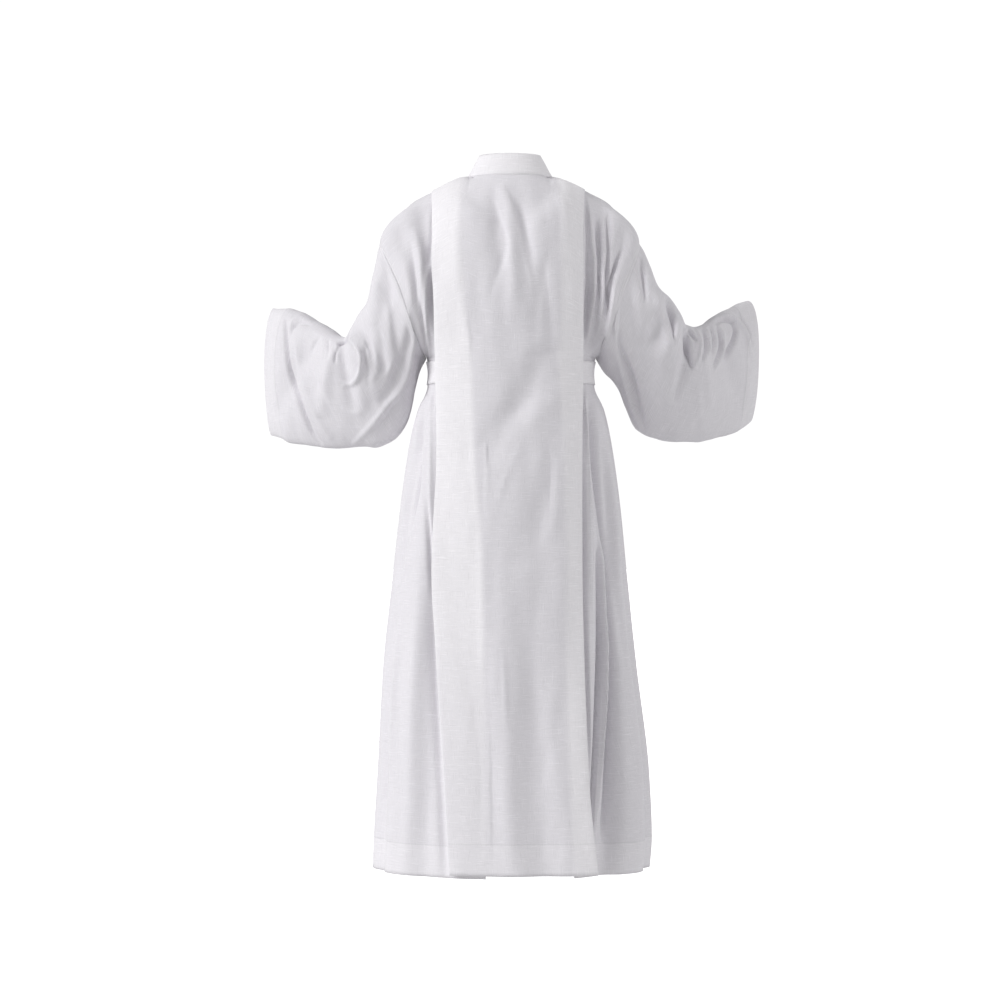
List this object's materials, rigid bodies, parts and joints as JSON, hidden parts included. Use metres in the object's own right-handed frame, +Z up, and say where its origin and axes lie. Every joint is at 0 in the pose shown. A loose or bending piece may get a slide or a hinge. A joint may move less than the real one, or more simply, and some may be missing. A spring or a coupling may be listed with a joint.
{
  "type": "worn alb robe",
  "caption": "Hollow worn alb with a stand collar, a box-pleated back panel hanging free over a belt, wide bell sleeves held out and forward, and a flared skirt.",
  "frame": {"origin": "middle of the neck opening, level with the collar seam at the nape, where the wearer's neck and shoulders hold the garment", "axes": "+Z up along the garment's length, +Y out of its back, +X out of its left side"},
  "size_m": [0.9441, 0.4115, 1.3192],
  "materials": {
    "linen": "plain slub linen weave, matt, slightly translucent",
    "linen_band": "the same linen, two layers thick, edge-stitched"
  },
  "bodies": {
    "root": {"back": "linen", "front_left": "linen", "front_right": "linen", "sleeve_left": "linen", "sleeve_right": "linen", "collar": "linen_band", "belt": "linen_band"}
  },
  "joints": []
}
